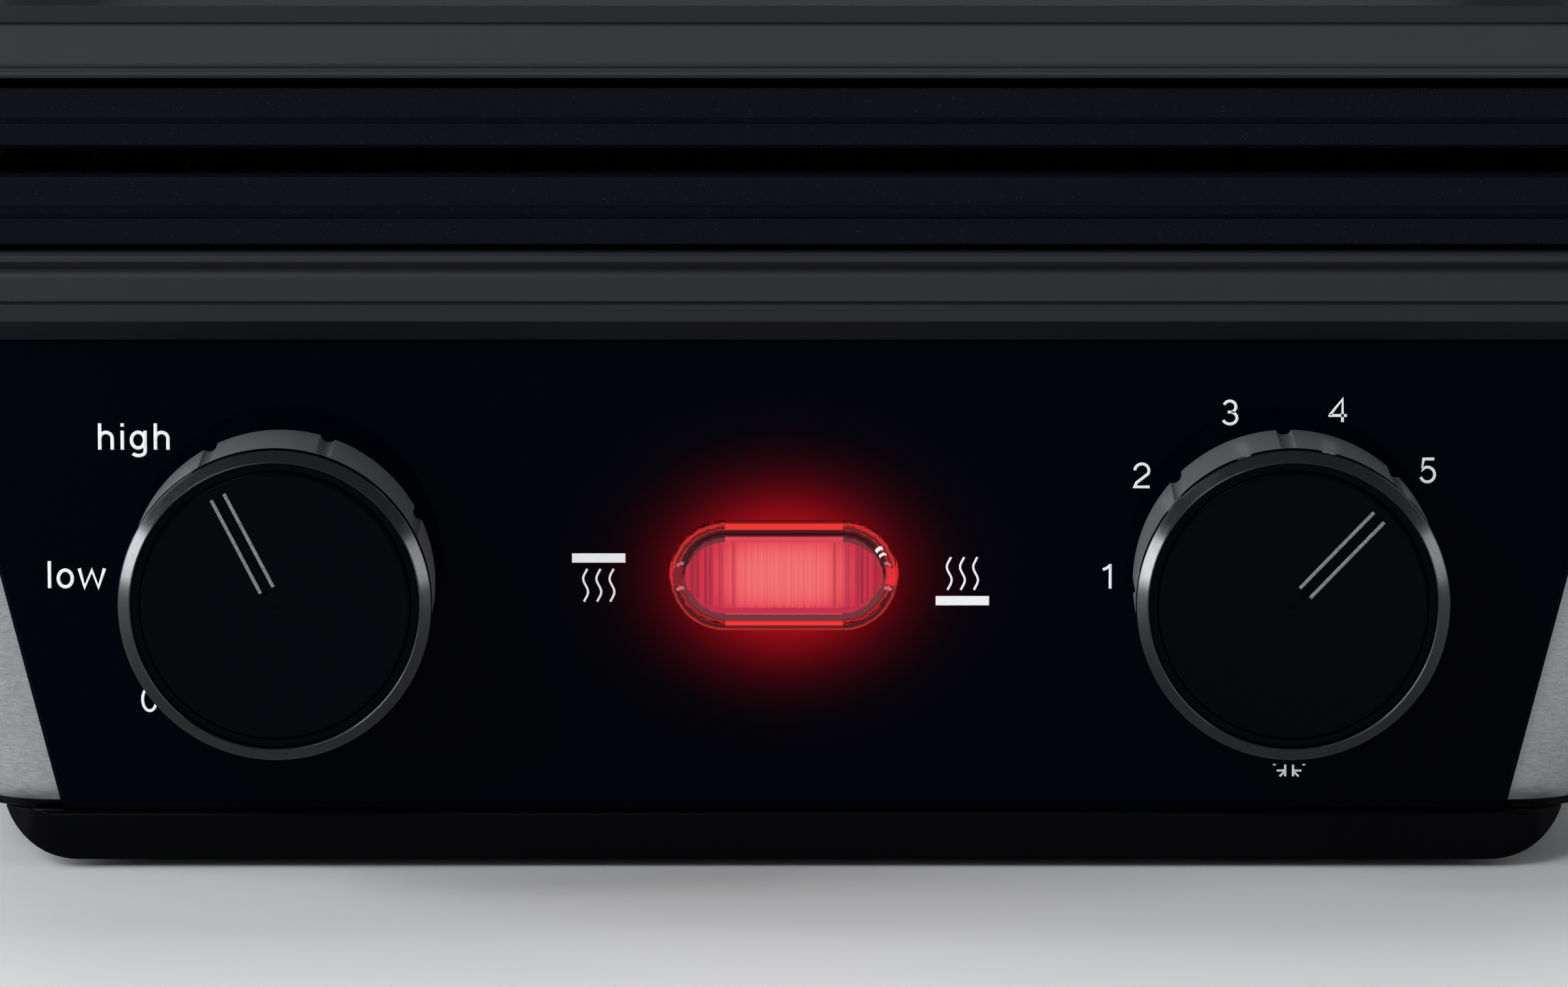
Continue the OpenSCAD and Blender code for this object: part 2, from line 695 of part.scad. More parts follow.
module neon_lamp() {
    color("#f2a33c") {
        along_x(-10, holder_y + 1.2, lamp_z) cylinder(h = 18, r = 2.9);
        translate([8, holder_y + 1.2, lamp_z]) sphere(r = 2.9);
        along_x(-12, holder_y + 1.2, lamp_z) cylinder(h = 3, r = 1.4);
    }
}

// Terminal block on the pan's floor, in front of the tray bay
block_w = 20;
block_h = 17;
pole_pitch = 10.5;
poles = 4;

module terminal_block() {
    l = poles * pole_pitch + 2;
    z = foot_h + pan_wall;
    color("#efece2") translate([0, tray_y - 12 - l, z]) difference() {
        union() {
            translate([-block_w / 2, 0, 0]) cube([block_w, l, 6]);
            translate([-block_w / 2 + 3, 0, 0]) cube([block_w - 6, l, block_h]);
        }
        for (i = [0:poles - 1]) translate([0, 1 + (i + 0.5) * pole_pitch, 0]) {
            translate([0, 0, 8]) cylinder(h = block_h, r = 2.4);
            along_x(-block_w, 0, 11) cylinder(h = 2 * block_w, r = 1.8);
        }
    }
}

module cord_inlet() {
    color("#101012") difference() {
        union() {
            along_y(inlet_x, y_rear - 19, inlet_z) cylinder(h = 12, r = 8);
            along_y(inlet_x, y_rear - 7, inlet_z) cylinder(h = 2, r = 11.5);
            along_y(inlet_x, y_rear - 5 - eps, inlet_z) cylinder(h = 4, r1 = 8.5, r2 = 6.5);
        }
        along_y(inlet_x, y_rear - 25, inlet_z) cylinder(h = 40, r = 3.6);
    }
}

eye_r = 6.5;
post_z = z_trim - 28;

// Cast post that carries the hinge shaft behind the rims
module hinge_post() {
    difference() {
        union() {
            translate([post_x, y_rear, post_z + post_d / 2])
                cube([post_w, post_d, hinge_z - post_z - post_d / 2]);
            along_x(post_x, y_rear + post_d / 2, post_z + post_d / 2) cylinder(h = post_w, r = post_d / 2);
            along_x(post_x, hinge_y, hinge_z) cylinder(h = post_w, r = eye_r);
        }
        along_x(post_x - 1, hinge_y, hinge_z) cylinder(h = post_w + 2, r = pin_r + run);
        for (z = post_boss_z)
            along_y(post_mid, y_rear - 1, z) cylinder(h = post_d + 2, r = post_screw_r + fit);
    }
}

module left_hinge_post() color("#8c8e92") mirror([1, 0, 0]) hinge_post();
module right_hinge_post() color("#8c8e92") hinge_post();

module hinge_post_screws() {
    color("#a8a8a8") both() for (z = post_boss_z) {
        along_y(post_mid, y_rear - post_screw_in, z)
            cylinder(h = post_screw_in + post_d + 0.1, r = post_screw_r);
        along_y(post_mid, y_rear + post_d, z) cylinder(h = post_screw_r, r = post_screw_r + 1.5);
    }
}

module base_screws() {
    color("#a8a8a8") for (x = [-1, 1], y = flange_screw_y) translate([x * flange_screw_x, y, 0]) {
        translate([0, 0, z_flange - 1.6]) cylinder(h = 1.6, r = flange_screw_r + 0.85);
        translate([0, 0, z_flange - 0.1]) cylinder(h = flange_screw_l, r = flange_screw_r);
    }
}

module drip_tray() {
    color("#1b1c1f") {
        difference() {
            translate([-tray_w / 2, tray_y, bay_z]) cube([tray_w, tray_l, tray_h]);
            translate([-tray_w / 2 + tray_wall, tray_y + tray_wall, bay_z + tray_wall])
                cube([tray_w - 2 * tray_wall, tray_l - tray_wall - tray_end, tray_h]);
        }
        // Finger lip along the rear end
        translate([-lip_w / 2, tray_y + tray_l - eps, bay_z + tray_h - 3]) cube([lip_w, 6, 3]);
        translate([-lip_w / 2, tray_y + tray_l + 4, bay_z + tray_h - 6]) cube([lip_w, 2, 4]);
    }
}

// ---------- Dials ----------

// The dial parts are drawn with the knob's front at depth 0 and their axis along +Y
module at_dial(side) translate([side * dial_x, knob_y, dial_z]) children();

skirt_end = knob_len - skirt_gap;
boss_r = 6;

module knob(rest) {
    difference() {
        union() {
            difference() {
                union() {
                    along_y(0, ring_d, 0) cylinder(h = skirt_end - ring_d, r = knob_r - 0.2);
                    along_y(0, 2.2, 0) cylinder(h = 1, r = face_r - fit);
                }
                along_y(0, ring_d + 2.5, 0) cylinder(h = 40, r = knob_r - 3.6);
            }
            along_y(0, ring_d + 2, 0) cylinder(h = knob_len - ring_d - 6, r = boss_r);
            for (a = [0:60:300]) rotate([0, a, 0])
                translate([boss_r - 1, ring_d + 2, -0.8]) cube([knob_r - boss_r - 2, 9, 1.6]);
        }
        along_y(0, ring_d + 1.5, 0) cylinder(h = 40, r = shaft_r + fit);
        // Finger notches, which stop short of the ring
        for (i = [0:knob_notches - 1]) rotate([0, -rest - i * 360 / knob_notches, 0]) {
            along_y(knob_r + 0.3, ring_d + 2.3, 0) cylinder(h = 40, r = notch_r);
            translate([knob_r + 0.3, ring_d + 2.3, 0]) sphere(r = notch_r);
        }
    }
}

module knob_ring() {
    rotate([-90, 0, 0]) rotate_extrude() polygon([
        [face_r, 0.2], [face_r + 0.2, 0], [knob_r - 0.1, ring_slope], [knob_r, ring_slope + 0.2],
        [knob_r, ring_d], [face_r, ring_d]]);
}

face_in = 0.7;        // face's edge, in from the front of the ring
face_dish = 0.5;      // fall of the face from its edge to its centre
face_steps = 6;
edge_w = 1.4;         // groove round the face
pointer_in = 2.4;
pointer_out = 17.4;
pointer_w = 1.4;

module knob_face(rest) {
    difference() {
        rotate([-90, 0, 0]) rotate_extrude() polygon(concat(
            [for (i = [0:face_steps]) let (s = i / face_steps)
                [(face_r - edge_w - 0.4) * s, face_in + face_dish * (1 - s * s)]],
            [[face_r - edge_w, face_in + 0.1], [face_r - edge_w + 0.3, face_in + 0.7],
                [face_r - fit, face_in + 0.7], [face_r - fit, 2.2], [0, 2.2]]));
        rotate([0, -rest, 0]) {
            translate([pointer_in, 0, -pointer_w / 2]) cube([pointer_out - pointer_in, 1.8, pointer_w]);
            along_y(pointer_in, 0, 0) cylinder(h = 1.8, r = pointer_w / 2);
        }
    }
}

module dial_shaft() {
    difference() {
        along_y(0, ring_d + 1.6, 0)
            cylinder(h = knob_len - ring_d + stat_y - panel_y + stat_d - 5, r = shaft_r);
        translate([-10, ring_d, shaft_r - 0.8]) cube([20, 9, 5]);
    }
}

module left_knob() color("#3a3b3e") at_dial(-1) knob(left_rest);
module left_knob_ring() color("#9b9da0") at_dial(-1) knob_ring();
module left_knob_face() color("#08080a") at_dial(-1) knob_face(left_rest);
module left_shaft() color("#c9c6ba") at_dial(-1) dial_shaft();
module right_knob() color("#3a3b3e") at_dial(1) knob(right_rest);
module right_knob_ring() color("#9b9da0") at_dial(1) knob_ring();
module right_knob_face() color("#08080a") at_dial(1) knob_face(right_rest);
module right_shaft() color("#c9c6ba") at_dial(1) dial_shaft();

// ---------- Plate locks ----------

module plate_lock(z) {
    tab = 20;
    color("#2a2b2e") {
        translate([lug_x + 2.8, lock_y - lock_l / 2, z - lock_h / 2])
            cube([side_x + 0.4 - lug_x - 2.8, lock_l, lock_h]);
        translate([side_x + 0.3, lock_y - tab / 2, z - 1.9]) cube([2.2, tab, 3.8]);
        for (i = [-3:3]) translate([side_x + 2.4, lock_y + i * 2.6 - 0.6, z - 1.5]) cube([0.9, 1.2, 3]);
    }
}

module lower_plate_lock() plate_lock(floor_z - lock_drop);
module upper_plate_lock() plate_lock(up_floor_z + lock_drop);

// ---------- Arms ----------

arm_mid_y = (hinge_y + pivot_y) / 2;
arm_mid_z = (hinge_z + pivot_z) / 2;

module arm() {
    difference() {
        hull() {
            along_x(arm_x, hinge_y, hinge_z) cylinder(h = arm_t, r = hub_r - 1);
            along_x(arm_x, pivot_y, pivot_z) cylinder(h = arm_t, r = hub_r - 3);
        }
        along_x(arm_x - 1, hinge_y, hinge_z) cylinder(h = 30, r = pin_r + fit);
        along_x(arm_x - 1, pivot_y, pivot_z) cylinder(h = 30, r = pin_r + run);
        along_x(arm_x + 2, arm_mid_y, arm_mid_z) cylinder(h = 30, r = 2 + fit);
    }
}

module arm_cover() {
    difference() {
        hull() {
            along_x(cover_x, hinge_y, hinge_z) cylinder(h = cover_t - 1.5, r = hub_r);
            along_x(cover_x, hinge_y, hinge_z) cylinder(h = cover_t, r = hub_r - 1.8);
            along_x(cover_x, pivot_y, pivot_z) cylinder(h = cover_t - 1.5, r = hub_r - 2);
            along_x(cover_x, pivot_y, pivot_z) cylinder(h = cover_t, r = hub_r - 3.8);
        }
        along_x(cover_x - 1, arm_mid_y, arm_mid_z) cylinder(h = 30, r = 2 + fit);
        along_x(cover_x + cover_t - 1.6, arm_mid_y, arm_mid_z) cylinder(h = 10, r = 3.6);
    }
}

button_r = 6;
button_travel = 2.5;
button_room = button_travel + 0.5;   // pocket under the button

module left_arm() color("#8c8e92") mirror([1, 0, 0]) arm();

module right_arm() {
    color("#8c8e92") difference() {
        arm();
        along_x(cover_x - button_room, hinge_y, hinge_z) cylinder(h = 10, r = button_r + slip);
    }
}

module left_arm_cover() color("#1a1b1d") mirror([1, 0, 0]) arm_cover();

module right_arm_cover() {
    color("#1a1b1d") difference() {
        arm_cover();
        along_x(cover_x - button_room, hinge_y, hinge_z) cylinder(h = 20, r = button_r + slip);
    }
}

module arm_cover_screws() {
    color("#a8a8a8") both() {
        along_x(arm_x + 2.2, arm_mid_y, arm_mid_z) cylinder(h = arm_t + cover_t - 3.8, r = 2);
        along_x(cover_x + cover_t - 1.6, arm_mid_y, arm_mid_z) cylinder(h = 1.3, r = 3.4);
    }
}

module hinge_shaft() {
    color("#c4c5c8") along_x(-cover_x, hinge_y, hinge_z)
        cylinder(h = 2 * cover_x - button_room - 0.4, r = pin_r);
}

module flat_release_button() {
    color("#c23a2e") {
        along_x(cover_x + 0.2, hinge_y, hinge_z) cylinder(h = cover_t - 1.2, r = button_r);
        along_x(cover_x + cover_t - 1.2, hinge_y, hinge_z)
            cylinder(h = 0.6, r1 = button_r, r2 = button_r - 0.6);
    }
}

// ---------- Lid ----------

bracket_mid = bracket_x + bracket_t / 2;
root_y = y_front + 9;      // lower end of a handle bracket, on the lid's front
root_z = z_lid + 16;
screw_z = root_z - 4;
top_in = 50;               // brushed panel, in from the rims' face
top_t = 1.2;

module lid_shell() {
    color("#b9babd") difference() {
        union() {
            difference() {
                lid_solid(0);
                lid_solid(shell_wall);
            }
            both() along_x(side_x - 25, pivot_y, pivot_z) cylinder(h = 25.3, r = 9);
        }
        both() along_x(side_x - 22, pivot_y, pivot_z) cylinder(h = 40, r = pin_r + fit);
        both() along_y(bracket_mid, y_front, screw_z) cylinder(h = 20, r = 2 + fit);
    }
}

module lid_panel() {
    color("#c8c9cb")
        rounded_plate(side_x - top_in, y_front + top_in, y_rear - top_in, rim_r, z_lid_top, top_t);
}

module upper_trim_ring() color("#26282b") stack_from(z_lid, -1) trim_ring();

module upper_rim() {
    color("#2f3434") difference() {
        stack_from(z_up_trim, -1) {
            rim_ring(upper_rim_h, 0.4, 1, 1.1, 1.2);
            plate_studs(z_up_trim - up_floor_z);
        }
        lock_slot(up_floor_z + lock_drop);
    }
}

module upper_plate() {
    color("#14161c") stack_from(z_up_plate_top, -1) grill_plate(upper_plate_h, 4.2, 0.8, 0, 0.8);
}

module upper_element() color("#4a4640") stack_from(up_element_z, 1) element();

module upper_element_clips() {
    reach = up_reflector_z + reflector_d - sheet_t - up_element_z;
    color("#c9c9c4") stack_from(up_reflector_z + reflector_d - sheet_t, -1) element_clips(reach);
}

module upper_reflector() color("#d2d3d3") stack_from(up_reflector_z, 1) reflector();

module thermal_fuse() {
    z = up_reflector_z + reflector_d;
    color("#d8c9a0") {
        translate([0, yc - 20, z]) cylinder(h = 1.2, r = 9);
        translate([0, yc - 20, z + 1.2 - eps]) cylinder(h = 7, r = 6);
        for (x = [-1, 1]) translate([x * 3 - 0.5, yc - 23, z + 8]) cube([1, 6, 7]);
    }
}

module lid_pins() {
    color("#c4c5c8") both() along_x(side_x - 21, pivot_y, pivot_z)
        cylinder(h = cover_x - side_x + 21 - 0.2, r = pin_r);
}

bar_r = handle_r - 1;
socket_d = 7;

module handle_bar() {
    color("#c3c4c6") difference() {
        along_x(-bracket_x - socket_d, handle_y, handle_z)
            cylinder(h = handle_grip + 2 * socket_d, r = bar_r);
        along_x(-bracket_x - socket_d - 1, handle_y, handle_z)
            cylinder(h = handle_grip + 2 * socket_d + 2, r = bar_r - 1.5);
    }
}

// Black arm from the lid's front shoulder to the end of the bar
module handle_bracket() {
    difference() {
        hull() {
            along_x(bracket_x, handle_y, handle_z) cylinder(h = bracket_t - 1.5, r = handle_r);
            along_x(bracket_x, handle_y, handle_z) cylinder(h = bracket_t, r = handle_r - 1.5);
            along_x(bracket_x, root_y, root_z) cylinder(h = bracket_t - 1.5, r = 11);
            along_x(bracket_x, root_y, root_z) cylinder(h = bracket_t, r = 9.5);
        }
        lid_solid(-0.05);
        along_x(bracket_x - 1, handle_y, handle_z) cylinder(h = socket_d + 1.2, r = bar_r + fit);
        along_y(bracket_mid, root_y - 7.6, screw_z) cylinder(h = 20, r = 2 + fit);
    }
}

module left_handle_bracket() color("#141517") mirror([1, 0, 0]) handle_bracket();
module right_handle_bracket() color("#141517") handle_bracket();

module handle_screws() {
    color("#a8a8a8") both() {
        along_y(bracket_mid, root_y - 7.5, screw_z) cylinder(h = 9.5, r = 2);
        along_y(bracket_mid, root_y + 1.9, screw_z) cylinder(h = 2.2, r = 3.8);
    }
}

base_pan();
rubber_feet();
lower_housing();
control_panel();
lower_trim_ring();
lower_rim();
lower_plate();
lower_element();
lower_element_clips();
lower_reflector();
drain_chute();
left_thermostat();
right_thermostat();
thermostat_nuts();
lamp_lens();
lamp_holder();
neon_lamp();
terminal_block();
cord_inlet();
left_hinge_post();
right_hinge_post();
hinge_post_screws();
base_screws();
drip_tray();
left_knob();
left_knob_ring();
left_knob_face();
left_shaft();
right_knob();
right_knob_ring();
right_knob_face();
right_shaft();
lower_plate_lock();
left_arm();
right_arm();
left_arm_cover();
right_arm_cover();
arm_cover_screws();
hinge_shaft();
flat_release_button();
lid_shell();
lid_panel();
upper_trim_ring();
upper_rim();
upper_plate();
upper_element();
upper_element_clips();
upper_reflector();
thermal_fuse();
lid_pins();
handle_bar();
left_handle_bracket();
right_handle_bracket();
handle_screws();
upper_plate_lock();
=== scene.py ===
import math
import bpy
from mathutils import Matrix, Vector


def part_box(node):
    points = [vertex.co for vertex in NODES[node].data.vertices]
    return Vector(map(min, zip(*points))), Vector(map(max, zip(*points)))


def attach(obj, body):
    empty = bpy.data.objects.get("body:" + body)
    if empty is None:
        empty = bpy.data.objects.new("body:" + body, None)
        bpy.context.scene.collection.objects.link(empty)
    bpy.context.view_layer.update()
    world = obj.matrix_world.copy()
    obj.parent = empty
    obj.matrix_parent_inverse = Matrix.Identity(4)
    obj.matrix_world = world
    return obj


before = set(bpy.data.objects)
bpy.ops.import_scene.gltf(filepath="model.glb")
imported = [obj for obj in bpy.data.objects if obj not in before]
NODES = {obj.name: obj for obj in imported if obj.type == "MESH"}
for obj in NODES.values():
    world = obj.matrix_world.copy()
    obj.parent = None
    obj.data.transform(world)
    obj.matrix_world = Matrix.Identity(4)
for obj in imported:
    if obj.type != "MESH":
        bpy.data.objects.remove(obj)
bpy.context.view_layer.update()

MM = 0.001


def middle(name):
    lo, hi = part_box(name)
    return tuple((a + b) / 2 for a, b in zip(lo, hi))


# Places that looks and pieces share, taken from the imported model
PANEL_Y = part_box("control_panel")[0][1]
LENS_X, _, LENS_Z = middle("lamp_lens")
DIAL = {side: middle(side + "_shaft") for side in ("left", "right")}
DIAL_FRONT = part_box("left_knob_ring")[0][1]
FLOOR_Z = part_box("rubber_feet")[0][2]


# ---------- Materials ----------

class Mat:
    """A node material with short helpers. Sizes are in metres, in the object's own space."""

    def __init__(self, name):
        self.name = name
        self.m = bpy.data.materials.new(name)
        self.m.use_nodes = True
        self.t = self.m.node_tree
        self.t.nodes.clear()
        self.out = self.node("ShaderNodeOutputMaterial")
        self.b = self.node("ShaderNodeBsdfPrincipled")
        self.t.links.new(self.b.outputs[0], self.out.inputs[0])
        self.tc = None

    def node(self, kind, **props):
        n = self.t.nodes.new(kind)
        for k, v in props.items():
            setattr(n, k, v)
        return n

    def put(self, socket, v):
        if v is None:
            return
        if isinstance(v, bpy.types.NodeSocket):
            self.t.links.new(v, socket)
        elif isinstance(v, (tuple, list)) and len(socket.default_value) == 4 and len(v) == 3:
            socket.default_value = (*v, 1)
        else:
            socket.default_value = v

    def set(self, **values):
        for k, v in values.items():
            self.put(self.b.inputs[k.replace("_", " ")], v)
        return self

    def coords(self):
        if self.tc is None:
            self.tc = self.node("ShaderNodeTexCoord").outputs["Object"]
        return self.tc

    def mapped(self, scale):
        n = self.node("ShaderNodeMapping")
        self.put(n.inputs["Vector"], self.coords())
        n.inputs["Scale"].default_value = scale if isinstance(scale, tuple) else (scale,) * 3
        return n.outputs[0]

    def xyz(self):
        n = self.node("ShaderNodeSeparateXYZ")
        self.put(n.inputs[0], self.coords())
        return n.outputs[0], n.outputs[1], n.outputs[2]

    def noise(self, scale, detail=2.0, rough=0.5):
        n = self.node("ShaderNodeTexNoise")
        self.put(n.inputs["Vector"], self.mapped(scale))
        n.inputs["Scale"].default_value = 1
        n.inputs["Detail"].default_value = detail
        n.inputs["Roughness"].default_value = rough
        return n.outputs[0]

    def cells(self, scale):
        n = self.node("ShaderNodeTexVoronoi")
        self.put(n.inputs["Vector"], self.mapped(scale))
        n.inputs["Scale"].default_value = 1
        return n.outputs["Distance"]

    def math(self, op, a, b=None, c=None):
        n = self.node("ShaderNodeMath", operation=op)
        for i, v in enumerate((a, b, c)):
            self.put(n.inputs[i], v)
        return n.outputs[0]

    def span(self, v, lo, hi, a, b):
        n = self.node("ShaderNodeMapRange")
        for i, x in enumerate((v, lo, hi, a, b)):
            self.put(n.inputs[i], x)
        return n.outputs[0]

    def window(self, v, middle, half, full=1.0):
        """full within half of the middle, falling to nothing just outside"""
        off = self.math("ABSOLUTE", self.math("SUBTRACT", v, middle))
        return self.span(off, half, half * 1.25, full, 0)

    def ramp(self, v, stops):
        n = self.node("ShaderNodeValToRGB")
        r = n.color_ramp
        while len(r.elements) < len(stops):
            r.elements.new(0.5)
        for e, (p, c) in zip(r.elements, stops):
            e.position = p
            e.color = (*c, 1)
        self.put(n.inputs[0], v)
        return n.outputs[0]

    def mix(self, f, a, b):
        n = self.node("ShaderNodeMix", data_type="RGBA")
        self.put(n.inputs[0], f)
        self.put(n.inputs[6], a)
        self.put(n.inputs[7], b)
        return n.outputs[2]

    def soft_edge(self, radius):
        n = self.node("ShaderNodeBevel", samples=4)
        n.inputs["Radius"].default_value = radius
        return n.outputs[0]

    def bump(self, height, depth, under=None):
        n = self.node("ShaderNodeBump")
        n.inputs["Strength"].default_value = 1
        n.inputs["Distance"].default_value = depth
        self.put(n.inputs["Height"], height)
        self.put(n.inputs["Normal"], under)
        return n.outputs[0]


def scaled(c, f):
    return tuple(v * f for v in c)


def srgb(*values):
    def linear(v):
        v /= 255
        return v / 12.92 if v <= 0.04045 else ((v + 0.055) / 1.055) ** 2.4
    return tuple(linear(v) for v in values)


SOFT = 0.25 * MM           # rounding that moulded edges show
SMOOTHED = 4 * MM          # and the large shells, over their facets


def finish_mat(name, base, vary=0.1, rough=0.4, rough_vary=0.05, metal=0.0, cloud=60.0, grain=900.0,
               depth=0.00001, detail=2.0, edge=SOFT, **extra):
    """Plain finish: clouded colour, uneven roughness, fine relief (grain per metre) and soft edges."""
    m = Mat(name)
    m.set(Metallic=metal, **extra)
    m.set(Base_Color=m.mix(m.noise(cloud, 3), scaled(base, 1 - vary), scaled(base, 1 + vary)))
    fine = m.noise(grain, detail, 0.6)
    m.set(Roughness=m.span(fine, 0.25, 0.75, max(rough - rough_vary, 0.02), rough + rough_vary))
    m.set(Normal=m.bump(fine, depth, m.soft_edge(edge)))
    return m


def satin():
    """Silver paint on the shells: fine horizontal grain, soft over their facets"""
    m = Mat("silver")
    streaks = m.noise((700, 700, 3400), 2, 0.6)
    dots = m.noise(3600, 1)
    grain = m.math("ADD", m.span(streaks, 0.3, 0.7, -0.16, 0.16), m.span(dots, 0.3, 0.7, -0.10, 0.10))
    m.set(Base_Color=m.mix(m.math("ADD", grain, 0.5), (0.22, 0.222, 0.231), (0.53, 0.532, 0.546)),
          Metallic=0.85, Roughness=m.span(streaks, 0.3, 0.7, 0.32, 0.42),
          Normal=m.bump(streaks, 0.000012, m.soft_edge(SMOOTHED)))
    return m


def nonstick():
    """Dark blue-grey coat with fine pale specks"""
    m = Mat("nonstick")
    specks = m.span(m.cells(2300), 0.10, 0.22, 1, 0)
    base = m.mix(m.noise(70, 3), (0.0006, 0.0011, 0.0036), (0.0012, 0.0018, 0.0052))
    share = m.math("MULTIPLY", specks, m.span(m.noise(900, 2), 0.5, 0.62, 0, 0.6))
    m.set(Base_Color=m.mix(share, base, (0.03, 0.034, 0.042)), Specular_IOR_Level=0.08,
          Roughness=m.span(m.noise(1500, 2), 0.3, 0.7, 0.34, 0.46),
          Normal=m.bump(m.noise(1900, 3, 0.6), 0.00003, m.soft_edge(SOFT)))
    return m


def dial_face():
    """Polished black with a trace of fine texture"""
    m = Mat("dial_face")
    m.set(Base_Color=m.mix(m.noise(900, 3), (0.0004, 0.0007, 0.0018), (0.0008, 0.0012, 0.0026)),
          Roughness=m.span(m.noise(1800, 2), 0.3, 0.7, 0.16, 0.24), Specular_IOR_Level=0.03,
          Normal=m.bump(m.noise(1600, 2), 0.000004, m.soft_edge(SOFT)))
    return m


GLOW_W = 7.6 * MM          # spread of the lamp's glow, painted on the panel as emission
GLOW_H = 6.0 * MM
GLOW = 0.76                # its strength at the middle


def panel():
    """Polished black, with the lamp's glow painted round its window as emission"""
    m = Mat("panel")
    x, y, z = m.xyz()
    u = m.math("DIVIDE", m.math("SUBTRACT", x, LENS_X), GLOW_W)
    w = m.math("DIVIDE", m.math("SUBTRACT", z, LENS_Z), GLOW_H)
    reach = m.math("ADD", m.math("MULTIPLY", u, u), m.math("MULTIPLY", w, w))
    # painted glow: red emission that falls off with distance from the lamp
    glow = m.math("MULTIPLY", m.math("EXPONENT", m.math("MULTIPLY", reach, -0.5)), GLOW)
    front = m.span(y, PANEL_Y + 0.6 * MM, PANEL_Y + 1.2 * MM, 1, 0)
    m.set(Base_Color=m.mix(m.noise(40, 3), (0.0003, 0.0006, 0.0022), (0.0005, 0.0008, 0.0030)),
          Roughness=m.span(m.noise(700, 2), 0.3, 0.7, 0.05, 0.09), Specular_IOR_Level=0.015,
          Emission_Color=(1.0, 0.008, 0.020), Emission_Strength=m.math("MULTIPLY", glow, front),
          Normal=m.bump(m.noise(160, 2), 0.000004))
    return m


# Sizes and colours of the lens
LENS_R = 7.75 * MM         # end radius of the lens
LENS_L = 8.35 * MM         # half length of its straight edges
BAND = 4.2 * MM            # width of the banded edge of the lens
FIELD_TOP = 2.8 * MM       # from the outline to the fluted field, above,
FIELD_LOW = 3.3 * MM       # below
FIELD_END = 2.05 * MM      # and at both ends
FIELD_UP = 0.2 * MM        # middle of the field's light above the middle of the lens
FIELD_W = 9.8 * MM         # spread of that light
FIELD_H = 5.6 * MM
GLASS = (0.010, 0.0004, 0.0006)
GLASS_PALE = (0.016, 0.0006, 0.001)

WHITE = srgb(252, 236, 238)
PALE = srgb(224, 128, 140)
BRIGHT = srgb(236, 46, 42)
SCARLET = srgb(226, 38, 40)
BLOOD = srgb(206, 30, 34)
RED = srgb(196, 32, 34)
PINK = srgb(220, 64, 78)
ROSE = srgb(234, 82, 90)
CRIMSON = srgb(186, 40, 70)
PLUM = srgb(188, 46, 74)
CERISE = srgb(186, 44, 66)
MAUVE = srgb(160, 44, 70)
WINE = srgb(140, 30, 52)
GARNET = srgb(130, 14, 26)
MAROON = srgb(112, 42, 50)
DEEP = srgb(100, 10, 16)
CHANNEL = srgb(54, 1, 9)
# The field from where its light ends to its middle
FIELD = ((0.0, srgb(198, 30, 54)), (0.3, srgb(214, 50, 72)), (0.7, srgb(236, 88, 94)),
         (1.0, srgb(240, 112, 113)))
# Bands of the edge from the outline inwards, as parts of its width: along the straight sides
# and round the ends
TOP_BANDS = ((0.0, DEEP), (0.03, DEEP), (0.04, BRIGHT), (0.26, BRIGHT), (0.28, DEEP), (0.31, CHANNEL),
             (0.46, CHANNEL), (0.50, PINK), (0.62, PINK), (0.64, CRIMSON), (0.67, ROSE), (1.0, ROSE))
LOW_BANDS = ((0.0, DEEP), (0.04, RED), (0.08, DEEP), (0.18, DEEP), (0.21, BRIGHT), (0.27, BRIGHT),
             (0.31, MAROON), (0.54, MAROON), (0.57, PINK), (0.61, CRIMSON), (0.74, CRIMSON), (0.80, PINK),
             (1.0, PINK))
TOP_ENDS = ((0.0, CHANNEL), (0.04, RED), (0.09, RED), (0.14, DEEP), (0.20, DEEP), (0.25, RED), (0.29, DEEP),
            (0.33, CHANNEL), (0.48, CHANNEL), (0.53, MAROON), (0.66, MAROON), (0.74, CRIMSON),
            (1.0, CRIMSON))
LOW_ENDS = ((0.0, DEEP), (0.04, RED), (0.10, DEEP), (0.16, CHANNEL), (0.22, CHANNEL), (0.27, RED),
            (0.31, DEEP), (0.38, MAROON), (0.56, MAROON), (0.62, CRIMSON), (1.0, CRIMSON))
FLUTES = ((7.18, 0.24, 0.55), (8.95, 0.32, 0.60), (10.6, 0.30, 0.55))   # place, half width and depth
GLINTS = ((37, 2.2), (28.5, 1.6))   # painted glints, a reflection on the upper right arc: angle, half width


class LensPlace:
    """Where a point lies on the lens, as node values"""

    def __init__(self, m):
        x, _, z = m.xyz()
        self.dx = m.math("SUBTRACT", x, LENS_X)
        self.dz = m.math("SUBTRACT", z, LENS_Z)
        self.side = m.math("ABSOLUTE", self.dx)
        self.high = m.math("ABSOLUTE", self.dz)
        over = m.math("MAXIMUM", m.math("SUBTRACT", self.side, LENS_L), 0.0)
        reach = m.math("ADD", m.math("MULTIPLY", over, over), m.math("MULTIPLY", self.dz, self.dz))
        patches = m.span(m.noise(1100, 1), 0.3, 0.7, -0.10 * MM, 0.10 * MM)
        self.at_end = m.span(self.side, LENS_L - 0.02 * MM, LENS_L + 0.02 * MM, 0, 1)
        self.at_right = m.span(self.dx, LENS_L, LENS_L + 0.1 * MM, 0, 1)
        self.inside = m.math("ADD", m.math("SUBTRACT", LENS_R, m.math("SQRT", reach)),
                             m.math("MULTIPLY", patches, self.at_end))
        self.upper = m.span(self.dz, -0.6 * MM, 0.6 * MM, 0, 1)


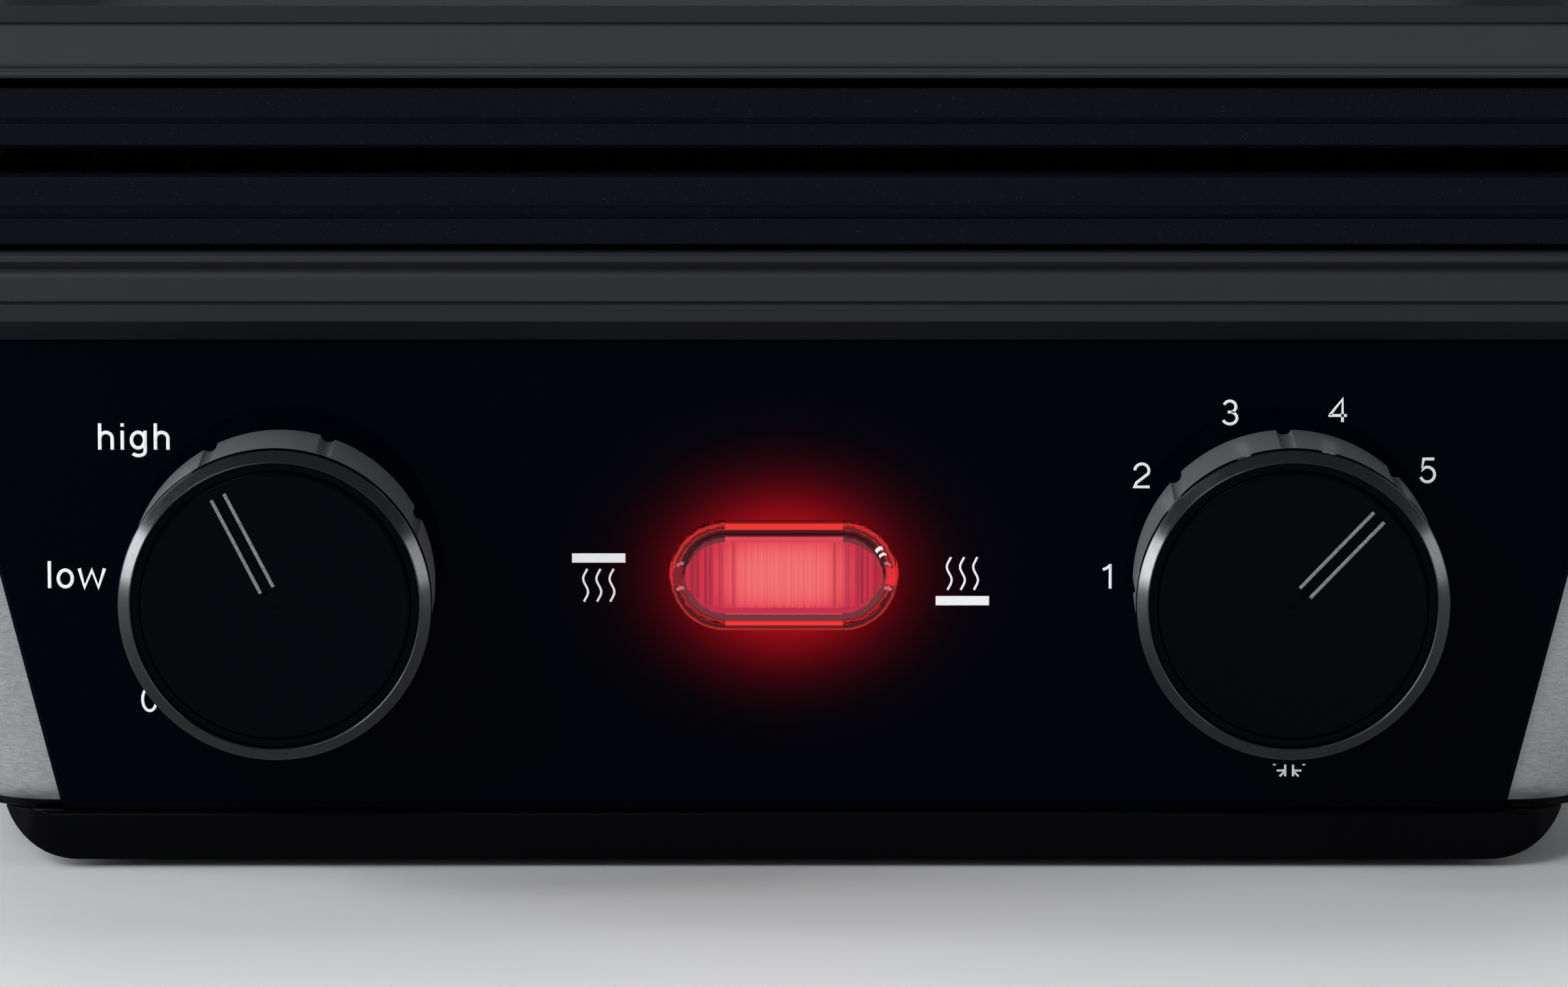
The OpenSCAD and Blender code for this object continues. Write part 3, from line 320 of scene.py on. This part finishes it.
def lens_ends(m, at, t):
    """Bands round the ends, with a bright tip, and painted highlights: pale blocks and white glints"""
    arcs = m.mix(at.upper, m.ramp(t, LOW_ENDS), m.ramp(t, TOP_ENDS))
    far = m.span(at.side, LENS_L + 5 * MM, LENS_L + 5.3 * MM, 0, 1)
    channel = m.span(at.inside, 1.5 * MM, 1.7 * MM, 1, 0)
    level = m.span(at.high, 1.15 * MM, 1.4 * MM, 1, 0)
    tip = m.mix(m.span(at.dx, -1 * MM, 1 * MM, 0, 1), GARNET, SCARLET)
    tip = m.mix(m.span(at.inside, 0.25 * MM, 0.35 * MM, 1, 0), tip, BLOOD)
    arcs = m.mix(m.math("MULTIPLY", m.math("MULTIPLY", far, channel), level), arcs, tip)
    # painted highlights: pale patches above and below the tip at each end
    blocks = m.math("MULTIPLY", far, m.window(at.high, 1.75 * MM, 0.22 * MM, 0.6))
    blocks = m.math("MULTIPLY", blocks, m.window(at.inside, 1.15 * MM, 0.45 * MM))
    arcs = m.mix(blocks, arcs, PALE)
    # painted glints: white patches of a reflection on the upper right arc
    turn = m.math("ARCTAN2", at.dz, m.math("SUBTRACT", at.dx, LENS_L))
    for angle, half in GLINTS:
        glint = m.math("MULTIPLY", at.at_right, m.window(turn, math.radians(angle), math.radians(half)))
        glint = m.math("MULTIPLY", glint, m.window(at.inside, 1.3 * MM, 0.45 * MM))
        arcs = m.mix(glint, arcs, WHITE)
    return arcs


def lens_field(m, at):
    """Fluted field, brightest at its middle"""
    along = m.math("POWER", m.math("DIVIDE", at.side, FIELD_W), 4.0)
    across = m.math("ABSOLUTE", m.math("SUBTRACT", at.dz, FIELD_UP))
    across = m.math("POWER", m.math("DIVIDE", across, FIELD_H), 3.0)
    lit = m.math("EXPONENT", m.math("MULTIPLY", m.math("ADD", along, across), -1.0))
    fine = m.span(m.noise((2300, 0, 0), 1, 0.4), 0.40, 0.60, 0.22, 0.0)
    field = m.mix(fine, m.ramp(lit, FIELD), CERISE)
    outer = m.span(at.side, 9 * MM, 11 * MM, 0.0, 0.7)
    coarse = m.span(m.noise((1500, 0, 0), 0), 0.44, 0.56, 1, 0)
    field = m.mix(m.math("MULTIPLY", outer, coarse), field, WINE)
    for place, half, deep in FLUTES:
        field = m.mix(m.window(at.side, place * MM, half * MM, deep), field, MAUVE)
    teeth = m.math("MULTIPLY", m.span(m.noise((1900, 0, 0), 0), 0.46, 0.54, 0, 0.6),
                   m.span(at.dz, -4.6 * MM, -3.9 * MM, 1, 0))
    return m.mix(teeth, field, PLUM)


def lens():
    """Red lens, lit from behind: bright edge, dark channel and a fluted field"""
    m = Mat("lens")
    at = LensPlace(m)
    t = m.span(at.inside, 0, BAND, 0, 1)
    straight = m.mix(at.upper, m.ramp(t, LOW_BANDS), m.ramp(t, TOP_BANDS))
    edge = m.mix(at.at_end, straight, lens_ends(m, at, t))
    straight_limit = m.mix(at.upper, (FIELD_LOW,) * 3, (FIELD_TOP,) * 3)
    limit = m.mix(m.span(at.high, 1.5 * MM, 4.5 * MM, 1, 0), straight_limit, (FIELD_END,) * 3)
    glow = m.mix(m.math("GREATER_THAN", at.inside, limit), edge, lens_field(m, at))
    m.set(Base_Color=m.mix(m.noise(400, 1), GLASS, GLASS_PALE),
          Roughness=m.span(m.noise(900, 2), 0.3, 0.7, 0.06, 0.12), Specular_IOR_Level=0.2,
          Emission_Color=glow, Emission_Strength=1.0, Normal=m.bump(m.noise(500, 1), 0.000006))
    return m


def make_materials():
    # Name, colour and its spread, roughness and its spread, metal, clouds and grain per metre, relief
    made = [
        satin(),
        finish_mat("brushed", (0.60, 0.60, 0.61), 0.04, 0.30, 0.04, 1.0, 20, (40, 3600, 3600), 0.000002, 3),
        finish_mat("handle", (0.58, 0.58, 0.59), 0.04, 0.26, 0.04, 1.0, 30, (3600, 90, 90), 0.0000015),
        finish_mat("moulding", (0.010, 0.0102, 0.012), 0.2, 0.42, 0.08, 0, 40, 2400, 0.00003, 3),
        finish_mat("pan", (0.0005, 0.0006, 0.0012), 0.2, 0.34, 0.05, 0, 40, 2400, 0.00001, 3,
                   Specular_IOR_Level=0.04),
        finish_mat("trim", (0.0120, 0.0128, 0.0165), 0.08, 0.40, 0.05, 0, 50, 1900, 0.000012,
                   Specular_IOR_Level=0.2),
        finish_mat("rim", (0.0150, 0.0156, 0.0183), 0.07, 0.38, 0.05, 0, 50, 1700, 0.00001,
                   Specular_IOR_Level=0.25),
        finish_mat("rim_upper", (0.0225, 0.0270, 0.0270), 0.07, 0.38, 0.05, 0, 50, 1700, 0.00001,
                   Specular_IOR_Level=0.25),
        finish_mat("steel", (0.52, 0.52, 0.53), 0.06, 0.30, 0.08, 1.0, 60, 900, 0.000006),
        finish_mat("element", (0.11, 0.10, 0.09), 0.3, 0.45, 0.1, 0.8, 120, 1500),
        finish_mat("sheet", (0.7, 0.7, 0.7), 0.05, 0.28, 0.08, 1.0, 15, (20, 900, 20)),
        finish_mat("casting", (0.28, 0.285, 0.30), 0.08, 0.42, 0.06, 0.85, 90, 2200, 0.00002),
        finish_mat("zinc", (0.50, 0.50, 0.47), 0.12, 0.34, 0.08, 1.0, 300, 1500),
        finish_mat("insulator", (0.70, 0.66, 0.56), 0.06, 0.5, 0.05, 0, 90, 1600, 0.00002),
        finish_mat("rubber", (0.012, 0.012, 0.012), 0.2, 0.75, 0.06, 0, 200, 2500, 0.00003),
        finish_mat("skirt", (0.125, 0.128, 0.136), 0.08, 0.36, 0.05, 0, 120, (2400, 300, 2400), 0.000008,
                   Specular_IOR_Level=0.4),
        finish_mat("knob_ring", (0.040, 0.041, 0.043), 0.06, 0.18, 0.03, 1.0, 150, (900, 4000, 900), 1e-6),
        finish_mat("neon", (0.9, 0.45, 0.2), 0.1, 0.15, 0.04, 0, 200, 900, 0.000004,
                   Transmission_Weight=0.5),
        finish_mat("button", (0.42, 0.025, 0.018), 0.08, 0.38, 0.06, 0, 200, 2400, 0.00002),
        finish_mat("print", (0.96, 0.965, 0.97), 0.03, 0.5, 0.06, 0, 900, 3500, 0.000004),
        # grey bars along the edges of the dials' slots: painted highlights of those edges
        finish_mat("pointer_edge_highlight", (0.17, 0.17, 0.175), 1.0, 0.5, 0.06, 0, 3200, 3500, 0.000004),
        nonstick(), dial_face(), panel(), lens(),
    ]
    return {m.name: m.m for m in made}


MATERIALS = make_materials()
LOOKS = {
    "silver": ["lower_housing", "lid_shell"],
    "brushed": ["lid_panel"],
    "handle": ["handle_bar"],
    "pan": ["base_pan"],
    "moulding": ["cord_inlet", "drip_tray", "lower_plate_lock", "upper_plate_lock", "left_arm_cover",
                 "right_arm_cover", "left_handle_bracket", "right_handle_bracket"],
    "trim": ["lower_trim_ring", "upper_trim_ring"],
    "rim": ["lower_rim"],
    "rim_upper": ["upper_rim"],
    "nonstick": ["lower_plate", "upper_plate"],
    "element": ["lower_element", "upper_element"],
    "sheet": ["lower_element_clips", "upper_element_clips", "lower_reflector", "upper_reflector"],
    "casting": ["drain_chute", "left_hinge_post", "right_hinge_post", "left_arm", "right_arm"],
    "insulator": ["left_thermostat", "right_thermostat", "lamp_holder", "terminal_block", "thermal_fuse"],
    "zinc": ["thermostat_nuts", "hinge_post_screws", "base_screws", "left_shaft", "right_shaft",
             "arm_cover_screws", "handle_screws"],
    "steel": ["hinge_shaft", "lid_pins"],
    "rubber": ["rubber_feet"],
    "panel": ["control_panel"],
    "lens": ["lamp_lens"],
    "neon": ["neon_lamp"],
    "skirt": ["left_knob", "right_knob"],
    "knob_ring": ["left_knob_ring", "right_knob_ring"],
    "dial_face": ["left_knob_face", "right_knob_face"],
    "button": ["flat_release_button"],
}
for look, names in LOOKS.items():
    for name in names:
        slots = NODES[name].data.materials
        slots.clear()
        slots.append(MATERIALS[look])
plain = set(NODES) - {name for names in LOOKS.values() for name in names}
if plain:
    raise SystemExit("no material for " + ", ".join(sorted(plain)))


# ---------- Printed marks ----------

PRINT_T = 0.04 * MM        # a printed mark stands this far off its face
PRINT_IN = 0.1 * MM        # and reaches this far into it
LAYER = 0.01 * MM          # each further stroke of a mark lies this much over the one before
MITRE = 1.7                # a sharp corner reaches out by this many half widths at most

# Sizes of the marks in millimetres, and angles in degrees
LETTER_W = 0.5             # stroke width of the words
DIGIT_W = 0.42
DIGIT_OUT = 25.5           # digits, from the middle of their dial
DIGIT_FIRST = 178.5        # angle of the first digit of the right dial
DIGIT_STEP = 35            # and from one to the next
ZERO_AT = 222              # angle of the left dial's zero
WORD_OUT = 29.1
WORDS = {"high": (135.7, (0, 3.2, 4.5, 7.9)), "low": (178.2, (0, 1.26, 4.23))}   # angle, letters' places
BAR_HALF = 3.8             # bar of a heat mark
BAR_W = 1.35
WAVE_W = 0.32
WAVE_NEAR = 1.55           # its waves, from the middle of the bar
WAVE_FAR = 6.28
WAVE_GAP = 1.87
WAVE_SWING = 0.34
WAVE_TURNS = 1.25
WAVE_START = 0.125


def arc(cx, cz, rx, rz, start, end, steps=14):
    turns = [math.radians(start + (end - start) * i / steps) for i in range(steps + 1)]
    return [(cx + rx * math.cos(a), cz + rz * math.sin(a)) for a in turns]


# Strokes of each sign in millimetres, x to the right and z up from the left end of its base line
GLYPHS = {
    "0": [arc(1.0, 1.65, 1.0, 1.65, 0, 360, 28)],
    "1": [[(1.0, 0), (1.0, 3.55)], [(1.0, 3.4), (0.75, 3.12), (0.4, 2.9), (-0.05, 2.74)]],
    "2": [arc(1.08, 2.33, 1.0, 0.97, 178, -28) + [(0.35, 0.62), (0.06, 0.0), (2.2, 0.0)]],
    "3": [arc(1.02, 2.48, 0.86, 0.82, 160, -80) + arc(1.04, 0.86, 1.0, 0.86, 70, -160),
          [(0.72, 1.71), (1.2, 1.71)]],
    "4": [[(1.78, 0), (1.78, 3.3), (0.0, 1.02), (0.0, 0.95), (2.4, 0.95)]],
    "5": [[(2.0, 3.3), (0.5, 3.3), (0.24, 1.72)] + arc(1.05, 1.07, 1.02, 1.07, 142, -160)],
    "g": [arc(0.93, 1.38, 0.93, 1.12, 0, 360, 28),
          [(1.93, 2.73), (1.93, -0.2)] + arc(1.0, -0.22, 0.93, 0.62, 0, -150)],
    "h": [[(0, 0), (0, 3.78)], [(0, 1.4)] + arc(0.885, 1.6, 0.885, 0.88, 165, 0) + [(1.77, 0)]],
    "i": [[(0, 0), (0, 2.73)], [(0, 3.3), (0, 3.78)]],
    "l": [[(0, 0), (0, 3.9)]],
    "o": [arc(0.99, 1.4, 0.99, 1.2, 0, 360, 28)],
    "w": [[(0, 2.85), (0.75, 0.12), (1.8, 2.6), (2.72, 0.12), (3.6, 2.85)]],
}


def offsets(pts, half):
    """Mitred offset of each point of a path to its left side"""
    out = []
    for i in range(len(pts)):
        normals = []
        for a, b in ((i - 1, i), (i, i + 1)):
            if a >= 0 and b < len(pts):
                dx, dz = pts[b][0] - pts[a][0], pts[b][1] - pts[a][1]
                d = math.hypot(dx, dz)
                normals.append((-dz / d, dx / d))
        n0, n1 = normals[0], normals[-1]
        sx, sz = n0[0] + n1[0], n0[1] + n1[1]
        length = max(math.hypot(sx, sz), 0.01)
        grow = min(2 / length, MITRE) * half / length
        out.append((sx * grow, sz * grow))
    return out


def bar_faces(rings):
    """Outward faces of a bar whose rings run left front, right front, right back, left back"""
    faces = [(3, 2, 1, 0), tuple(4 * rings - 4 + k for k in range(4))]
    for i in range(rings - 1):
        for k in range(4):
            j = (k + 1) % 4
            faces.append((4 * i + k, 4 * i + j, 4 * i + 4 + j, 4 * i + 4 + k))
    return faces


def ribbon(pts, half, front, back):
    """Vertices and faces of a flat bar along x, z points in millimetres between two depths in metres"""
    verts = []
    for (x, z), (ox, oz) in zip(pts, offsets(pts, half)):
        for s, y in ((1, front), (-1, front), (-1, back), (1, back)):
            verts.append(((x + s * ox) * MM, y, (z + s * oz) * MM))
    return verts, bar_faces(len(pts))


def piece(name, parts, look, body):
    """One object out of several vertex and face lists"""
    verts = []
    faces = []
    for part_verts, part_faces in parts:
        faces += [tuple(i + len(verts) for i in f) for f in part_faces]
        verts += part_verts
    me = bpy.data.meshes.new(name)
    me.from_pydata(verts, [], faces)
    me.update()
    ob = bpy.data.objects.new(name, me)
    bpy.context.collection.objects.link(ob)
    me.materials.append(MATERIALS[look])
    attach(ob, body)
    return ob


def printed(name, strokes):
    """Mark on the panel out of (path, stroke width) pairs"""
    parts = [ribbon(pts, w / 2, PANEL_Y - PRINT_T - i * LAYER, PANEL_Y + PRINT_IN)
             for i, (pts, w) in enumerate(strokes)]
    return piece(name, parts, "print", "base")


def moved(paths, x, z):
    return [[(px + x, pz + z) for px, pz in path] for path in paths]


def centred(paths, x, z):
    xs = [p[0] for path in paths for p in path]
    zs = [p[1] for path in paths for p in path]
    return moved(paths, x - (min(xs) + max(xs)) / 2, z - (min(zs) + max(zs)) / 2)


def round_dial(side, radius, angle):
    """Point round a dial, in millimetres, counted anticlockwise from its right side"""
    x, _, z = DIAL[side]
    a = math.radians(angle)
    return x / MM + radius * math.cos(a), z / MM + radius * math.sin(a)


def digit(text, side, angle):
    x, z = round_dial(side, DIGIT_OUT, angle)
    printed("digit_" + text, [(p, DIGIT_W) for p in centred(GLYPHS[text], x, z)])


def word(text, side):
    angle, starts = WORDS[text]
    paths = [path for letter, x in zip(text, starts) for path in moved(GLYPHS[letter], x, 0)]
    x, z = round_dial(side, WORD_OUT, angle)
    printed("word_" + text, [(p, LETTER_W) for p in centred(paths, x, z)])


def heat_mark(name, x, z, way):
    """Bar with three waves over it, or under it where way is -1"""
    strokes = [([(x - BAR_HALF, z), (x + BAR_HALF, z)], BAR_W)]
    low, high = sorted((z + way * WAVE_NEAR, z + way * WAVE_FAR))
    steps = 20
    for i in (-1, 0, 1):
        pts = []
        for k in range(steps + 1):
            s = k / steps
            swing = WAVE_SWING * math.sin(math.tau * (WAVE_TURNS * s - WAVE_START))
            pts.append((x + i * WAVE_GAP - swing, high + (low - high) * s))
        strokes.append((pts, WAVE_W))
    printed(name, strokes)


# Right half of the small sign, as paths from its middle and their stroke widths: post, side bar,
# foot and dot
HALF_SIGN = ((((0.56, -0.85), (0.56, 0.85)), 0.32), (((0.6, 0), (1.75, 0)), 0.3),
             (((0.7, -0.2), (1.35, -0.85)), 0.3), (((1.9, 0.85), (2.3, 0.85)), 0.22))


def small_sign(x, z):
    """Sign under the right dial"""
    printed("sign_small", [([(x + s * px, z + pz) for px, pz in path], w)
                           for s in (-1, 1) for path, w in HALF_SIGN])


for i, text in enumerate("12345"):
    digit(text, "right", DIGIT_FIRST - DIGIT_STEP * i)
digit("0", "left", ZERO_AT)
word("high", "left")
word("low", "left")
# Places of the signs in millimetres, across and up
heat_mark("heat_mark_left", -26.3, 44.8, -1)
heat_mark("heat_mark_right", 25.35, 38.66, 1)
small_sign(71.95, 14.15)


# ---------- Painted highlights along the dials' pointer slots ---

FACE_IN = 0.7 * MM         # edge of the dial's face behind its ring
FACE_DISH = 0.5 * MM       # and its middle behind that edge
FACE_R = 18.4 * MM         # radius of the dished part
POINTER = {"left": 117, "right": 46.5}   # where the slots point at rest, in degrees
LINE_IN = 2.4              # ends of the lines, in millimetres from the middle of the dial
LINE_OUT = 17.3
LINE_OFF = 1.0             # from the middle of the slot
LINE_W = 0.5


def face_y(r):
    return DIAL_FRONT + FACE_IN + FACE_DISH * (1 - min(r / FACE_R, 1) ** 2)


def pointer_line(dial, side):
    """Flat grey bar along one side of the slot, on the dished face: a painted highlight of the slot's edge
    """
    cx, _, cz = DIAL[dial]
    a = math.radians(POINTER[dial])
    steps = 10
    verts = []
    for k in range(steps + 1):
        along = LINE_IN + (LINE_OUT - LINE_IN) * k / steps
        ring = []
        for half in (LINE_W / 2, -LINE_W / 2):
            across = side * LINE_OFF + half
            y = face_y(math.hypot(along, across) * MM)
            x = cx + (along * math.cos(a) - across * math.sin(a)) * MM
            z = cz + (along * math.sin(a) + across * math.cos(a)) * MM
            ring.append((x, y - PRINT_T, z))
            ring.append((x, y + PRINT_IN, z))
        verts += [ring[0], ring[2], ring[3], ring[1]]
    return verts, bar_faces(steps + 1)


for dial in ("left", "right"):
    lines = [pointer_line(dial, side) for side in (-1, 1)]
    piece(dial + "_pointer_lines", lines, "pointer_edge_highlight", dial + "_dial")


# ---------- Stage ----------

BACKDROP = (0.30, 0.303, 0.31)
SKY = (0.11, 0.112, 0.118)          # soft light from all round
FLOOR_SIZE = 24
FLOOR_DARK = (0.60, 0.606, 0.618)
FLOOR_PALE = (0.63, 0.636, 0.648)
FADE_FROM = 1.5                     # the floor turns into the backdrop between these distances
FADE_TO = 6
FADE = 0.75                         # and this bright
AIM = (0, 0, 0.05)
# Name, place, width, height and radiance
LIGHTS = (("soft_left", (-3.0, -1.24, 0.47), 0.80, 1.20, 19.0),
          ("soft_right", (3.0, -1.24, 0.47), 0.70, 1.12, 6.8),
          ("top_left", (-2.6, -0.09, 1.72), 1.65, 1.65, 6.6),
          ("top_right", (2.6, -0.09, 1.72), 1.65, 1.65, 1.8),
          ("top_back", (0, 1.2, 2.4), 2.6, 1.3, 4.2),
          ("soft_front", (-1.6, -3.0, 2.2), 1.9, 1.3, 10.5))
CAMERA_AT = (0, -1.53838, 0.28133)
CAMERA_LENS = 235.166
CAMERA_TURN = 81                    # degrees from straight down


def area_light(name, place, width, height, radiance):
    """Soft rectangular light. Its power follows from how bright its face is."""
    li = bpy.data.lights.new(name, "AREA")
    li.shape = "RECTANGLE"
    li.size = width
    li.size_y = height
    li.energy = radiance * math.pi * width * height
    ob = bpy.data.objects.new(name, li)
    bpy.context.collection.objects.link(ob)
    ob.location = place
    ob.rotation_euler = (Vector(AIM) - Vector(place)).to_track_quat("-Z", "Y").to_euler()


def backdrop_share(tree):
    """1 for rays that show the backdrop: the camera's, and those off metal and through glass"""
    path = tree.nodes.new("ShaderNodeLightPath")
    share = path.outputs["Is Camera Ray"]
    for ray in ("Is Glossy Ray", "Is Transmission Ray"):
        either = tree.nodes.new("ShaderNodeMath")
        either.operation = "MAXIMUM"
        tree.links.new(share, either.inputs[0])
        tree.links.new(path.outputs[ray], either.inputs[1])
        share = either.outputs[0]
    return share


def make_floor():
    bpy.ops.mesh.primitive_plane_add(size=FLOOR_SIZE, location=(0, 0, FLOOR_Z))
    floor = bpy.context.object
    floor.name = "floor"
    m = Mat("floor")
    x, y, _ = m.xyz()
    away = m.math("SQRT", m.math("ADD", m.math("MULTIPLY", x, x), m.math("MULTIPLY", y, y)))
    fade = m.span(away, FADE_FROM, FADE_TO, 0, FADE)
    m.set(Base_Color=m.mix(m.noise(9, 3), FLOOR_DARK, FLOOR_PALE),
          Roughness=m.span(m.noise(400, 2), 0.3, 0.7, 0.44, 0.52), Specular_IOR_Level=0.08,
          Emission_Color=BACKDROP, Emission_Strength=m.math("MULTIPLY", fade, backdrop_share(m.t)))
    floor.data.materials.append(m.m)


def make_world():
    world = bpy.data.worlds.new("studio")
    bpy.context.scene.world = world
    world.use_nodes = True
    t = world.node_tree
    t.nodes.clear()
    out = t.nodes.new("ShaderNodeOutputWorld")
    mix = t.nodes.new("ShaderNodeMixShader")
    t.links.new(backdrop_share(t), mix.inputs[0])
    for slot, colour in ((1, SKY), (2, BACKDROP)):
        light = t.nodes.new("ShaderNodeBackground")
        light.inputs[0].default_value = (*colour, 1)
        t.links.new(light.outputs[0], mix.inputs[slot])
    t.links.new(mix.outputs[0], out.inputs[0])


def make_camera():
    cam = bpy.data.cameras.new("camera")
    cam.sensor_width = 36
    cam.lens = CAMERA_LENS
    ob = bpy.data.objects.new("camera", cam)
    bpy.context.collection.objects.link(ob)
    ob.location = CAMERA_AT
    ob.rotation_euler = (math.radians(CAMERA_TURN), 0, 0)
    bpy.context.scene.camera = ob


make_floor()
for light in LIGHTS:
    area_light(*light)
make_world()
make_camera()
bpy.context.scene.view_settings.view_transform = "Standard"
